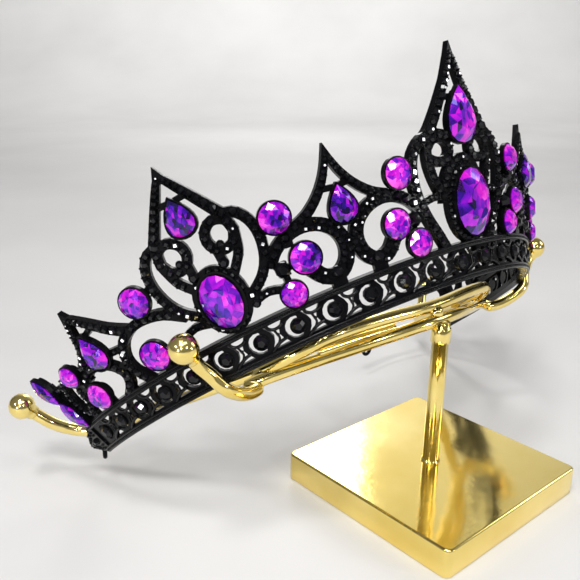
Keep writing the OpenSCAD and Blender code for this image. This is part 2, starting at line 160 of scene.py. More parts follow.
# over the band's ends: x, h and diameter of small stones, x and h of granules
END_STONES = [(-1.6, 4.6, 2.2), (-4.2, 4.6, 1.8), (-6.3, 4.7, 1.4), (-2.4, 7.2, 1.4), (-3.6, 2.7, 1.3)]
END_GRAINS = [
    (-0.2, 1.6), (-1.5, 1.9), (-2.6, 1.9), (-4.4, 3.2), (-5.6, 3.4), (-7.2, 4.0), (-7.8, 4.8), (-6.6, 5.6),
    (-5.2, 6.1), (-4.0, 6.4), (-3.6, 7.3), (-0.6, 8.3), (0.2, 8.8), (-0.2, 7.4), (-0.1, 6.4), (-0.1, 2.8)]

# how far a stone's girdle stands over its exact body, across and along
OVERHANG = {
    "round": (0.08, 0.08), "leaf": (0.15, 0.1), "drop": (-0.05, -0.3),
    "center_oval": (0.3, 0.25), "center_drop": (0.34, 0.1),
    "left_peak3_oval": (-0.5, -0.3), "right_peak3_oval": (-0.5, -0.3)}

# how far a stone leans to blue, low, or to magenta, high; the first name that fits counts
TONES = (
    ("center_drop", 0.50), ("drop", 0.36), ("leaf", 0.44), ("low2", 0.64), ("low3", 0.66),
    ("shoulder2", 0.62), ("scroll2", 0.58), ("tail", 0.60), ("scroll4", 0.58), ("shoulder4", 0.46),
    ("peak3_oval", 0.54))
PLAIN_TONE = 0.5


# ---------------------------------------------------------------- the cone and its frames
def cone_r(h):
    return RING_R + h * SIN_FLARE


def lean_vec(x, y, z):
    return Vector((x, y * COS_LEAN + z * SIN_LEAN, -y * SIN_LEAN + z * COS_LEAN))


def surface(th, h, off):
    """The point at angle th and height h along the cone, off it by off."""
    r = cone_r(h) + off * COS_FLARE
    return lean_vec(r * math.sin(th), -r * math.cos(th), h * COS_FLARE - off * SIN_FLARE) + TIARA_AT


def axes_at(th):
    """The cone's directions across, up its slope and outward."""
    tangent = lean_vec(math.cos(th), math.sin(th), 0)
    slope = lean_vec(math.sin(th) * SIN_FLARE, -math.cos(th) * SIN_FLARE, COS_FLARE)
    normal = lean_vec(math.sin(th) * COS_FLARE, -math.cos(th) * COS_FLARE, -SIN_FLARE)
    return tangent, slope, normal


def theta(at, x, h):
    """The angle of a point x to the side of a leaf's middle, which is at degrees."""
    return math.radians(at) + math.asin(x / cone_r(h))


def cell_angle(i):
    return math.radians(-BAND_HALF + BAND_PLAIN + CELL_TURN * i)


def flip(v):
    return Vector((-v.x, v.y, v.z))


def round_dir(share):
    """Cosine and sine of a share of a full turn."""
    return math.cos(2 * math.pi * share), math.sin(2 * math.pi * share)


# ---------------------------------------------------------------- mesh helpers
def link(name, data):
    ob = bpy.data.objects.new(name, data)
    bpy.context.scene.collection.objects.link(ob)
    return ob


def enlist(ob, material, nodes):
    """Gives a new piece its material and body, and hides the CAD nodes that it stands for."""
    ob.data.materials.append(material)
    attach(ob, "root")
    if nodes:
        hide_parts(*nodes)


class Build:
    """Collects vertices and faces, in mm, for one piece."""

    def __init__(self):
        self.verts, self.faces, self.uvs, self.seeds, self.smooth = [], [], [], [], []

    def add(self, verts, faces, uvs=None, seed=(0.0, PLAIN_TONE), mirror=False, smooth=False):
        base = len(self.verts)
        self.verts += [flip(v) if mirror else v for v in verts]
        for f in faces:
            f = tuple(reversed(f)) if mirror else tuple(f)
            self.faces.append(tuple(base + i for i in f))
            self.uvs.append([uvs[i] for i in f] if uvs else None)
            self.seeds.append(seed)
            self.smooth.append(smooth)

    def done(self, name, material, slot, *nodes):
        me = bpy.data.meshes.new(name)
        me.from_pydata([v * MM for v in self.verts], [], self.faces)
        if any(self.uvs):
            spot = me.uv_layers.new(name="spot")
            seed = me.uv_layers.new(name="seed")
            for poly, uv, own in zip(me.polygons, self.uvs, self.seeds):
                for corner, place in zip(poly.loop_indices, uv):
                    spot.data[corner].uv = place
                    seed.data[corner].uv = own
        for poly, smooth in zip(me.polygons, self.smooth):
            poly.use_smooth = smooth
        me.validate()
        me.update()
        enlist(link(name, me), material, nodes)


def catmull(route, steps):
    """A smooth curve through a route's points; a straight route is only divided."""
    if len(route) < 3:
        n = steps * 2
        a, b = Vector(route[0]), Vector(route[1])
        return [a.lerp(b, i / n) for i in range(n + 1)]
    r = [Vector(p) for p in route]
    out = []
    for i in range(len(r) - 1):
        a, b, c, d = r[max(i - 1, 0)], r[i], r[i + 1], r[min(i + 2, len(r) - 1)]
        for k in range(steps):
            t = k / steps
            out.append(0.5 * (2 * b + (c - a) * t + (2 * a - 5 * b + 4 * c - d) * t * t
                              + (3 * b - a - 3 * c + d) * t * t * t))
    return out + [r[-1]]


def skin(rings, sides):
    """Quads between rings of vertices that follow one another."""
    faces = []
    for k in range(rings - 1):
        for i in range(sides):
            j = (i + 1) % sides
            faces.append((k * sides + i, k * sides + j, (k + 1) * sides + j, (k + 1) * sides + i))
    return faces


def caps(rings, sides):
    return [tuple(reversed(range(sides))), tuple((rings - 1) * sides + i for i in range(sides))]


# ---------------------------------------------------------------- materials
def new_material(name):
    mat = bpy.data.materials.new(name)
    mat.use_nodes = True
    nt = mat.node_tree
    nt.nodes.clear()
    out = nt.nodes.new("ShaderNodeOutputMaterial")
    bsdf = nt.nodes.new("ShaderNodeBsdfPrincipled")
    nt.links.new(bsdf.outputs[0], out.inputs[0])
    return mat, nt, bsdf


def fixed(bsdf, **values):
    """Numbers and colours that are the same all over; Coat_Weight stands for Coat Weight."""
    for key, value in values.items():
        bsdf.inputs[key.replace("_", " ")].default_value = value


def maths(nt, op, *values):
    n = nt.nodes.new("ShaderNodeMath")
    n.operation = op
    for socket, value in zip(n.inputs, values):
        if isinstance(value, (int, float)):
            socket.default_value = value
        else:
            nt.links.new(value, socket)
    return n.outputs[0]


def noise(nt, coord, scale, detail):
    n = nt.nodes.new("ShaderNodeTexNoise")
    n.inputs["Scale"].default_value = scale
    n.inputs["Detail"].default_value = detail
    n.inputs["Roughness"].default_value = 0.55
    nt.links.new(coord, n.inputs["Vector"])
    return n.outputs[0]


def ramp(nt, fac, stops):
    n = nt.nodes.new("ShaderNodeValToRGB")
    elements = n.color_ramp.elements
    while len(elements) > 1:
        elements.remove(elements[-1])
    elements[0].position, elements[0].color = stops[0][0], (*stops[0][1], 1)
    for position, colour in stops[1:]:
        elements.new(position).color = (*colour, 1)
    nt.links.new(fac, n.inputs[0])
    return n.outputs[0]


def span(nt, fac, low, high, from_low=0.3, from_high=0.7):
    n = nt.nodes.new("ShaderNodeMapRange")
    n.inputs["From Min"].default_value = from_low
    n.inputs["From Max"].default_value = from_high
    n.inputs["To Min"].default_value = low
    n.inputs["To Max"].default_value = high
    nt.links.new(fac, n.inputs["Value"])
    return n.outputs[0]


def bump(nt, bsdf, height, strength, distance):
    n = nt.nodes.new("ShaderNodeBump")
    n.inputs["Strength"].default_value = strength
    n.inputs["Distance"].default_value = distance
    nt.links.new(height, n.inputs["Height"])
    nt.links.new(n.outputs[0], bsdf.inputs["Normal"])


def coords(nt):
    return nt.nodes.new("ShaderNodeTexCoord").outputs["Object"]


def black_enamel(name, shine, coat):
    mat, nt, bsdf = new_material(name)
    co = coords(nt)
    grain = noise(nt, co, 1400, 4)
    patches = noise(nt, co, 160, 2)
    shades = [(0.3, (0.0015, 0.0015, 0.002)), (0.75, (0.005, 0.005, 0.006))]
    nt.links.new(ramp(nt, patches, shades), bsdf.inputs["Base Color"])
    nt.links.new(span(nt, grain, 0.12, 0.26), bsdf.inputs["Roughness"])
    fixed(bsdf, Specular_IOR_Level=shine, Coat_Weight=coat, Coat_Roughness=0.08)
    bump(nt, bsdf, grain, 0.7, 0.00012)
    return mat


def black_glass():
    mat, nt, bsdf = new_material("black_glass")
    patches = noise(nt, coords(nt), 420, 2)
    shades = [(0.35, (0.0015, 0.0015, 0.002)), (0.7, (0.006, 0.006, 0.008))]
    nt.links.new(ramp(nt, patches, shades), bsdf.inputs["Base Color"])
    nt.links.new(span(nt, patches, 0.03, 0.12), bsdf.inputs["Roughness"])
    fixed(bsdf, IOR=1.37, Coat_Weight=0.03, Coat_Roughness=0.03)
    return mat


def painted_glint_material():
    """Painted glints: bright, glowing squares on the tables of the small stones, some of which glow more than
    others.
    """
    mat, nt, bsdf = new_material("painted_glint_glow")
    co = coords(nt)
    patches = noise(nt, co, 700, 2)
    shades = [(0.3, (0.85, 0.87, 0.9)), (0.7, (1.0, 1.0, 1.0))]
    nt.links.new(ramp(nt, patches, shades), bsdf.inputs["Base Color"])
    nt.links.new(span(nt, patches, 0.03, 0.1), bsdf.inputs["Roughness"])
    # painted glint: emission that varies from stone to stone, standing in for reflected light
    nt.links.new(span(nt, noise(nt, co, 900, 1), 0.02, 1.1, 0.42, 0.62), bsdf.inputs["Emission Strength"])
    fixed(bsdf, Metallic=0.6, Coat_Weight=1.0, Emission_Color=(1.0, 0.97, 1.0, 1.0))
    return mat


def crystal_with_painted_facet_light():
    """Foiled crystal in the foil's violet and magenta, with painted light and shade: wedges, rings and shards of
    its cut each get their own brightness, and the stone glows a little.

    The UV map "spot" is a point's place on the stone; "seed" is the stone's own number and tone.
    """
    table, wedges, rings, zigzag = 0.52, 16, 4.3, 0.7
    mat, nt, bsdf = new_material("crystal_with_painted_facet_light")

    def calc(op, *values):
        return maths(nt, op, *values)

    def split(uv_map):
        uv = nt.nodes.new("ShaderNodeUVMap")
        uv.uv_map = uv_map
        parts = nt.nodes.new("ShaderNodeSeparateXYZ")
        nt.links.new(uv.outputs[0], parts.inputs[0])
        return parts.outputs[0], parts.outputs[1]

    def join(*values):
        parts = nt.nodes.new("ShaderNodeCombineXYZ")
        for socket, value in zip(parts.inputs, values):
            nt.links.new(value, socket)
        return parts.outputs[0]

    spot_x, spot_y = split("spot")
    seed, stone_tone = split("seed")
    u = calc("SUBTRACT", spot_x, 0.5)
    v = calc("SUBTRACT", spot_y, 0.5)
    r = calc("MULTIPLY", calc("SQRT", calc("ADD", calc("MULTIPLY", u, u), calc("MULTIPLY", v, v))), 2.0)
    inner = calc("LESS_THAN", r, table)
    outer = calc("SUBTRACT", 1.0, inner)

    # wedges outside, whose rings zigzag
    around = calc("MULTIPLY", calc("ARCTAN2", v, u), wedges / 2 / math.pi)
    ring = calc("FLOOR", calc("ADD", calc("MULTIPLY", r, rings),
                              calc("MULTIPLY", calc("PINGPONG", around, 1.0), zigzag)))
    wedge = nt.nodes.new("ShaderNodeTexWhiteNoise")
    wedge.noise_dimensions = "3D"
    nt.links.new(join(calc("FLOOR", around), ring, calc("MULTIPLY", seed, 57.0)), wedge.inputs["Vector"])

    # straight shards in the middle
    shard = nt.nodes.new("ShaderNodeTexVoronoi")
    shard.inputs["Scale"].default_value = 8.0
    nt.links.new(join(u, v, seed), shard.inputs["Vector"])
    shard_tone = nt.nodes.new("ShaderNodeSeparateColor")
    nt.links.new(shard.outputs["Color"], shard_tone.inputs[0])

    # painted light and shade: each facet of the cut gets its own tone, standing in for what it reflects
    facet_painted_light = calc("ADD", calc("MULTIPLY", wedge.outputs["Value"], outer),
                 calc("MULTIPLY", shard_tone.outputs[0], inner))
    cloud = noise(nt, coords(nt), 240, 2)
    turn = calc("MULTIPLY", seed, 40.0)
    tilt = calc("ADD", calc("MULTIPLY", u, calc("COSINE", turn)), calc("MULTIPLY", v, calc("SINE", turn)))
    tone = calc("ADD", calc("MULTIPLY", facet_painted_light, 0.62),
                calc("ADD", span(nt, cloud, 0.0, 0.22, 0.35, 0.65),
                     calc("ADD", calc("MULTIPLY", tilt, 0.34), calc("SUBTRACT", stone_tone, 0.42))))
    colour = ramp(nt, tone, [
        (0.16, (0.004, 0.0005, 0.04)), (0.30, (0.03, 0.001, 0.30)), (0.46, (0.16, 0.002, 0.52)),
        (0.62, (0.42, 0.003, 0.62)), (0.82, (0.72, 0.006, 0.62)), (0.98, (1.0, 0.10, 0.80))])
    nt.links.new(colour, bsdf.inputs["Base Color"])
    # a painted glow: the stone gives off its own colour, though it is no lamp
    nt.links.new(colour, bsdf.inputs["Emission Color"])
    nt.links.new(span(nt, cloud, 0.05, 0.12), bsdf.inputs["Roughness"])
    fixed(bsdf, Metallic=0.3, IOR=1.4, Coat_Weight=0.75, Coat_Roughness=0.02, Emission_Strength=0.12)
    return mat


def gold(name, wave_scale, rough_low, rough_high, wave):
    mat, nt, bsdf = new_material(name)
    co = coords(nt)
    waves = noise(nt, co, wave_scale, 3)
    grain = noise(nt, co, 900, 4)
    shades = [(0.3, (0.87, 0.66, 0.18)), (0.72, (1.0, 0.82, 0.32))]
    nt.links.new(ramp(nt, waves, shades), bsdf.inputs["Base Color"])
    rough = maths(nt, "ADD", span(nt, waves, rough_low, rough_high), maths(nt, "MULTIPLY", grain, 0.05))
    nt.links.new(rough, bsdf.inputs["Roughness"])
    fixed(bsdf, Metallic=1.0)
    height = maths(nt, "ADD", maths(nt, "MULTIPLY", waves, wave), maths(nt, "MULTIPLY", grain, 0.12))
    bump(nt, bsdf, height, 0.3, 0.0003)
    return mat


ENAMEL = black_enamel("black_enamel", 0.08, 0.02)
POLISHED = black_enamel("black_wire", 0.18, 0.06)
GLASS = black_glass()
SPARK = painted_glint_material()
CRYSTAL = crystal_with_painted_facet_light()
GOLD = gold("polished_gilt", 130, 0.07, 0.16, 1.0)
FOOT_GOLD = gold("gilt_block", 45, 0.05, 0.13, 1.8)


def dress(name, mat):
    """Gives a CAD node, which stays as it is, a better material."""
    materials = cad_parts[name].data.materials
    materials.clear()
    materials.append(mat)


dress("tiara_frame", ENAMEL)
dress("band_stones", GLASS)


# ---------------------------------------------------------------- the purple stones
def outline_point(kind, a):
    s, c = math.sin(a), math.cos(a)
    if kind == "drop":
        return s * math.sin(a / 2) / 0.77, c
    if kind == "leaf":
        return math.copysign(abs(s) ** 1.6, s), c
    return s, c


def cut_gem(kind, w, l, top, wider, longer):
    """A crown with table, stars, kites and girdle facets over a shallow back."""
    half, n = 8, 16
    girdle_z, girdle_t, back_inset = 0.9, 0.18, 0.4

    def ring(scale, z, shift, count, lift=0.0, less=0.0):
        pts = []
        for i in range(count):
            x, y = outline_point(kind, 2 * math.pi * (i + shift) / count)
            pts.append(Vector((x * (w / 2 + wider - less) * scale,
                               y * (l / 2 + longer - less) * scale + lift, z)))
        return pts

    low = -0.06 * l if kind == "drop" else 0.0
    verts = ring(0.55, top, 0.0, half, low * 0.5)
    verts += ring(0.78, girdle_z + (top - girdle_z) * 0.62, 0.5, half, low * 0.25)
    verts += ring(1.0, girdle_z, 0.0, n)
    verts += ring(0.99, girdle_z - girdle_t, 0.0, n)
    verts += ring(0.9, 0.0, 0.0, n, 0.0, back_inset)
    star, girdle, under, back = half, 2 * half, 2 * half + n, 2 * half + 2 * n
    faces = [tuple(reversed(range(half)))]
    for i in range(half):
        j, h = (i + 1) % half, (i - 1) % half
        faces.append((i, j, star + i))
        faces.append((i, star + i, girdle + 2 * i, star + h))
        faces.append((star + i, girdle + 2 * i + 1, girdle + 2 * i))
        faces.append((star + i, girdle + (2 * i + 2) % n, girdle + 2 * i + 1))
    for i in range(n):
        j = (i + 1) % n
        faces.append((girdle + i, girdle + j, under + j, under + i))
        faces.append((under + i, under + j, back + j, back + i))
    faces.append(tuple(back + i for i in range(n)))
    uvs = [(0.5 + v.x / (w + 0.4), 0.5 + v.y / (l + 0.4)) for v in verts]
    return verts, faces, uvs


def tone_of(name):
    return next((tone for part, tone in TONES if part in name), PLAIN_TONE)


def gem(name, at, row, mirror, seed):
    _, kind, x, h, w, l, turn = row
    th = theta(at, x, h)
    tangent, slope, normal = axes_at(th)
    top = STONE_H * min(1.25, 0.55 + w / 16)
    verts, faces, uvs = cut_gem(kind, w, l, top, *OVERHANG.get(name, OVERHANG.get(kind)))
    c, s = math.cos(math.radians(turn)), math.sin(math.radians(turn))
    base = surface(th, h, SEAT_Z + CLEAR)
    placed = []
    for v in verts:
        px, py = v.x * c - v.y * s, v.x * s + v.y * c
        placed.append(base + tangent * px + slope * py + normal * v.z)
    build = Build()
    build.add(placed, faces, uvs, (seed, tone_of(name)), mirror)
    build.done("gem_" + name, CRYSTAL, "purple_stone", "stone_" + name)


rng = random.Random(7)
SIDE_STONES = [(at, row) for at, rows in ((PEAK2_AT, PEAK2_STONES), (PEAK3_AT, PEAK3_STONES),
                                          (TAIL_AT, TAIL_STONES)) for row in rows]
for row in CENTER_STONES:
    gem("center_" + row[0], 0.0, row, False, rng.random())
for at, row in SIDE_STONES:
    gem("left_" + row[0], at, row, False, rng.random())
    gem("right_" + row[0], at, row, True, rng.random())

# ---------------------------------------------------------------- fine black stones along the bars
ALL_STONES = [(theta(0, row[2], row[3]), row) for row in CENTER_STONES]
for at, row in SIDE_STONES:
    th = theta(at, row[2], row[3])
    ALL_STONES += [(th, row), (-th, row)]

SMALL_H = 0.42          # a small stone's height, and other measures, as shares of its diameter
SMALL_TABLE = 0.55
SMALL_GIRDLE = 0.94
SINK = 0.05             # how deep it and its prongs sit in the metal
PRONG_SINK = 0.03
GLINT_SINK = 0.03
PRONG_D, PRONG_H = 0.6, 0.5
GLINT_SHARE = 0.17      # how many small stones get a painted glint on their table
SPIN = 3.0
DOUBLE_FROM = 3.0       # bars wider than this carry two rows
# as shares of the bar's width or the stone's diameter: diameter, step, prongs' distance from the middle
SINGLE_ROW = (0.9, 0.99, 0.43)
DOUBLE_ROW = (0.52, 0.52, 0.44)
ROW_APART = 0.245
CLOSEST = 0.44
STONE_MARGIN, PRONG_MARGIN, HALO_MARGIN = 0.75, 0.6, 0.45


def near_stone(th, h, margin):
    """Whether a point on the cone lies under one of the main stones or within margin of it."""
    for stone_th, row in ALL_STONES:
        dx, dh = (th - stone_th) * cone_r(h), h - row[3]
        if abs(dx) > 14 or abs(dh) > 14:
            continue
        a = math.radians(row[6]) * (1 if stone_th < 0 else -1)
        px, py = dx * math.cos(a) + dh * math.sin(a), -dx * math.sin(a) + dh * math.cos(a)
        if (px / (row[4] / 2 + margin)) ** 2 + (py / (row[5] / 2 + margin)) ** 2 < 1:
            return True
    return False


def polygon(r, count, z, spin, shift=0.0):
    verts = []
    for i in range(count):
        a = spin + 2 * math.pi * (i + shift) / count
        verts.append(Vector((r * math.cos(a), r * math.sin(a), z)))
    return verts


def small_stone(d, spin, sides=8):
    """A tiny faceted stone with a table."""
    r, high, half = d / 2, SMALL_H * d, sides // 2
    verts = polygon(r, sides, 0, spin)
    verts += polygon(r * SMALL_GIRDLE, sides, high * 0.3, spin)
    verts += polygon(r * SMALL_TABLE, half, high, spin, 0.25)
    faces = [(i, (i + 1) % sides, sides + (i + 1) % sides, sides + i) for i in range(sides)]
    for i in range(half):
        a, b, c = sides + 2 * i, sides + (2 * i + 1) % sides, sides + (2 * i + 2) % sides
        t, u = 2 * sides + i, 2 * sides + (i + 1) % half
        faces += [(a, b, t), (b, u, t), (b, c, u)]
    faces.append(tuple(2 * sides + i for i in range(half)))
    return verts, faces


def painted_glint_quad(d, spin):
    """A painted glint: a bright square a hair above a small stone's table."""
    return polygon(d * (0.2 + 0.06 * math.sin(9 * spin)), 4, 0, spin, 0.25), [(0, 1, 2, 3)]


def dome(d, high, sides=6):
    verts = []
    for k, (share, z) in enumerate(((1.0, 0.0), (0.86, 0.55), (0.45, 0.9))):
        verts += polygon(d / 2 * share, sides, high * z, 0, k / 2)
    verts.append(Vector((0, 0, high)))
    faces = []
    for k in (0, 1):
        for i in range(sides):
            a, b = k * sides + i, k * sides + (i + 1) % sides
            faces += [(a, b, a + sides), (b, b + sides, a + sides)]
    faces += [(2 * sides + i, 2 * sides + (i + 1) % sides, 3 * sides) for i in range(sides)]
    return verts, faces


pave, glint_squares, beads, rails = Build(), Build(), Build(), Build()
taken = []


def set_on(build, th, h, lift, shape, smooth=False):
    tangent, slope, normal = axes_at(th)
    base = surface(th, h, lift)
    verts, faces = shape
    build.add([base + tangent * v.x + slope * v.y + normal * v.z for v in verts], faces, smooth=smooth)


def row_of_stones(points, width_of, both, margin=STONE_MARGIN):
    """points: (theta, h) along a bar; width_of: the bar's width at each share of the way."""
    places = [surface(th, h, PLATE_FRONT) for th, h in points]
    run = [0.0]
    for a, b in zip(places, places[1:]):
        run.append(run[-1] + (b - a).length)
    total = run[-1]
    sides = (1, -1) if both else (1,)
    at, k, odd = 0.5, 0, False
    while at < total - 0.2:
        while run[k + 1] < at:
            k += 1
        f = (at - run[k]) / max(run[k + 1] - run[k], 1e-6)
        th = points[k][0] + (points[k + 1][0] - points[k][0]) * f
        h = points[k][1] + (points[k + 1][1] - points[k][1]) * f
        w = width_of(at / total)
        ax, ay = (points[k + 1][0] - points[k][0]) * cone_r(h), points[k + 1][1] - points[k][1]
        length = math.hypot(ax, ay) or 1.0
        ax, ay = ax / length, ay / length
        double = w > DOUBLE_FROM
        size, step, edge = DOUBLE_ROW if double else SINGLE_ROW
        d = w * size
        odd = not odd
        away = 0.0
        if double:
            away = w * ROW_APART if odd else -w * ROW_APART
        pt, ph = th - ay * away / cone_r(h), h + ax * away
        here = surface(pt, ph, PLATE_FRONT)
        free = ph > BAND_H + 0.8 and not near_stone(pt, ph, margin)
        if free and all((here - q).length > (d + e) * CLOSEST for q, e in taken):
            for side in sides:
                taken.append((flip(here) if side < 0 else here, d))
                spin = rng.random() * SPIN
                set_on(pave, pt * side, ph, PLATE_FRONT - SINK, small_stone(d, spin))
                # some stones get a painted glint, a glowing square over the table
                if rng.random() < GLINT_SHARE:
                    set_on(glint_squares, pt * side, ph, PLATE_FRONT - GLINT_SINK + SMALL_H * d, painted_glint_quad(d, spin))
            # prongs on the bar's edges between this stone and the next
            outs = [edge * w, -edge * w]
            if double:
                outs = outs[:1] if away >= 0 else outs[1:]
            for out in outs:
                qt = th + (ax * d * 0.5 - ay * out) / cone_r(h)
                qh = h + ay * d * 0.5 + ax * out
                if not near_stone(qt, qh, PRONG_MARGIN):
                    for side in sides:
                        set_on(beads, qt * side, qh, PLATE_FRONT - PRONG_SINK, dome(PRONG_D, PRONG_H), smooth=True)
        at += d * step


def bars_of(at, table, both):
    for w0, w1, route in table:
        pts = [(theta(at, p[0], p[1]), p[1]) for p in catmull(route, 10)]
        row_of_stones(pts, lambda f, w0=w0, w1=w1: w0 + (w1 - w0) * math.sqrt(f), both)


def halo_of(at, halo, both):
    row, rx, ry, w = halo
    steps = 72
    pts = []
    for i in range(steps + 1):
        a = 2 * math.pi * i / steps
        h = row[3] + ry * math.cos(a)
        pts.append((theta(at, row[2] + rx * math.sin(a), h), h))
    row_of_stones(pts, lambda f: w, both, HALO_MARGIN)


def mirrored(table):
    return [(w0, w1, [(-x, h) for x, h in route]) for w0, w1, route in table]


for at, x, h, d in SINGLE_STONES:
    th = theta(at, x, h)
    here = surface(th, h, PLATE_FRONT)
    for side in (1, -1):
        taken.append((flip(here) if side < 0 else here, d))
        set_on(pave, th * side, h, PLATE_FRONT - SINK, small_stone(d, rng.random() * SPIN, 10))
halo_of(0, CENTER_HALO, False)
bars_of(0, CENTER_BARS, False)
bars_of(0, mirrored(CENTER_BARS), False)
halo_of(PEAK3_AT, PEAK3_HALO, True)
for at, table in ((PEAK2_AT, PEAK2_BARS), (PEAK3_AT, PEAK3_BARS)):
    bars_of(at, table, True)
    bars_of(at, mirrored(table), True)
bars_of(TAIL_AT, TAIL_BARS, True)


# ---------------------------------------------------------------- the band's wires, granules and bezels
def tube(build, route, d, sides=6, steps=6):
    """A round wire lying on the cone; route of (theta, h, lift)."""
    pts = catmull(route, steps)
    places = [surface(*p) for p in pts]
    verts = []
    for i, at in enumerate(places):
        run = (places[min(i + 1, len(pts) - 1)] - places[max(i - 1, 0)]).normalized()
        side = run.cross(axes_at(pts[i][0])[2]).normalized()
        rise = side.cross(run)
        for c in range(sides):
            a = 2 * math.pi * c / sides
            verts.append(at + side * (d / 2 * math.cos(a)) + rise * (d / 2 * math.sin(a)))
    build.add(verts, skin(len(places), sides) + caps(len(places), sides), smooth=True)


RAIL_WIRES, RAIL_WIRE_D, RAIL_LIFT, RAIL_TURNS = (0.4, 1.2, 8.4, 9.2), 0.58, 1.15, 64
for h in RAIL_WIRES:
    route = [(math.radians(-BAND_HALF + 2 * BAND_HALF * i / RAIL_TURNS), h, RAIL_LIFT)
             for i in range(RAIL_TURNS + 1)]
    tube(rails, route, RAIL_WIRE_D, 8, 4)

# granules between each pair of wires
GRAINS = 420
for i in range(GRAINS):
    th = math.radians(BAND_HALF) * (2 * (i + 0.5) / GRAINS - 1)
    for h in (8.8, 0.8):
        set_on(rails, th, h, 1.3, dome(0.5, 0.34), smooth=True)

# curls between the band's cells: points (x, h) and the wire's size
CURLS = [
    ([(-1.9, 8.1), (-1.6, 7.1), (-0.5, 6.4), (0.9, 6.5), (1.9, 7.0)], 0.85),
    ([(-2.9, 1.5), (-1.5, 2.5), (0.2, 3.2), (1.7, 3.4)], 0.85),
    ([(-0.9, 2.8), (-0.1, 4.0), (-0.3, 5.4), (-0.6, 6.4)], 0.6)]
CURL_LIFT, CURL_SHIFT = 0.75, 0.25
for i in range(1, CELLS // 2 + 1):
    for side in (1, -1) if i < CELLS // 2 else (1,):
        def on_cell(x, h):
            return side * (cell_angle(i) + (x + CURL_SHIFT) / cone_r(h)), h, CURL_LIFT
        for route, d in CURLS:
            tube(rails, [on_cell(x, h) for x, h in route], d)
        set_on(rails, on_cell(-0.1, 4.9)[0], 4.9, 0.7, dome(0.9, 0.6, 8), smooth=True)

for side in (1, -1):
    for x, h, d in END_STONES:
        set_on(pave, theta(-BAND_HALF, x, h) * side, h, 1.1, small_stone(d, 0.3 * x))
    for x, h in END_GRAINS:
        set_on(rails, theta(-BAND_HALF, x, h) * side, h, 1.05, dome(0.9, 0.55, 8), smooth=True)


def bezel(seg=20, cut=6):
    """A thin ring round one of the band's small stones."""
    verts = []
    for a in range(seg):
        ca, sa = round_dir(a / seg)
        for c in range(cut):
            cc, sc = round_dir(c / cut)
            r = BEAD_D / 2 + 0.16 + 0.22 * cc
            verts.append(Vector((r * ca, r * sa, 0.2 + 0.26 * sc)))
    faces = []
    for a in range(seg):
        for c in range(cut):
            e, f = (a + 1) % seg, (c + 1) % cut
            faces.append((a * cut + c, e * cut + c, e * cut + f, a * cut + f))
    return verts, faces


for i in range(CELLS):
    set_on(beads, cell_angle(i + 0.5) + SEAT_SHIFT / cone_r(CELL_H), CELL_H, WEB_FRONT, bezel(), smooth=True)

pave.done("pave_stones", GLASS, "black_stone")
# painted glints: glowing squares over the black stones' tables
glint_squares.done("painted_glint_squares", SPARK, "black_stone")
beads.done("prongs_and_bezels", ENAMEL, "black_metal")
rails.done("band_filigree", POLISHED, "black_metal")

# ---------------------------------------------------------------- the stand
BACK_BALL = (87.7, 74.6, 24.0)
FRONT_BALL = (71.0, 16.6, 55.8)
BACK_WIRE = [
    (0, 3.4, ROD_Z + 3.4), (18, 5.8, ROD_Z + 2.9), (31, 8.8, ROD_Z + 1.1), (39.5, 14.2, 47),
    (46, 23.2, 40.2), (60, 44, 27.5), (69.3, 61, 16.8), (73.3, 66.1, 15), (77.2, 69.2, 15.8),
    (81, 70.8, 18), (84.5, 73.4, 21), BACK_BALL]
FRONT_WIRE = [
    (0, 1.2, ROD_Z), (45.5, 19.2, 40.2), (49.6, 17.4, 39), (54.5, 15.6, 40), (59.3, 13.8, 42.6),
    (62.2, 13.7, 44.8), (64.6, 15.4, 47.8), (67.8, 16.5, 51.4), FRONT_BALL]
STIFFENER = [(13, 5.2, 50.2), (23, 9.2, 48.2), (33, 13.1, 45.9)]
# solder joints: place, radius, seed
SOLDER = [((0, 2.3, ROD_Z + 1.7), 2.25, 1), ((45.7, 21.2, 40.2), 2.2, 2), ((-45.7, 21.2, 40.2), 2.2, 3)]


def wire(name, route, d):
    """A gilt wire of the cradle as a round curve."""
    pts = catmull(route, 10)
    cu = bpy.data.curves.new(name, "CURVE")
    cu.dimensions = "3D"
    cu.bevel_depth = d / 2 * MM
    cu.bevel_resolution = 6
    cu.use_fill_caps = True
    sp = cu.splines.new("POLY")
    sp.points.add(len(pts) - 1)
    for p, q in zip(sp.points, pts):
        p.co = (q.x * MM, q.y * MM, q.z * MM, 1)
    sp.use_smooth = True
    enlist(link(name, cu), GOLD, ("stand_cradle",))


def whole(route):
    return [(-x, y, z) for x, y, z in reversed(route[1:])] + route


wire("cradle_back_wire", whole(BACK_WIRE), ROD_D)
wire("cradle_front_wire", whole(FRONT_WIRE), ROD_D)
for side, hand in ((1, "right"), (-1, "left")):
    wire("cradle_stiffener_" + hand, [(x * side, y, z) for x, y, z in STIFFENER], STIFFENER_D)


def lathe(build, origin, axis, profile, sides=40):
    """profile: (distance along the axis, radius)."""
    axis = Vector(axis).normalized()
    side = axis.orthogonal().normalized()
    up = axis.cross(side)
    origin = Vector(origin)
    verts = []
    for z, r in profile:
        for i in range(sides):
            a = 2 * math.pi * i / sides
            verts.append(origin + axis * z + (side * math.cos(a) + up * math.sin(a)) * r)
    build.add(verts, skin(len(profile), sides) + caps(len(profile), sides), smooth=True)


def ball_profile(r, neck_r, steps=18):
    """A bead with a small neck where the wire goes in."""
    pts = [(-r - 0.7, neck_r), (-r - 0.25, neck_r + 0.25)]
    first = math.asin(min(0.95, (neck_r + 0.35) / r))
    for i in range(steps + 1):
        a = first + (math.pi - first - 0.04) * i / steps
        pts.append((-r * math.cos(a), r * math.sin(a)))
    return pts


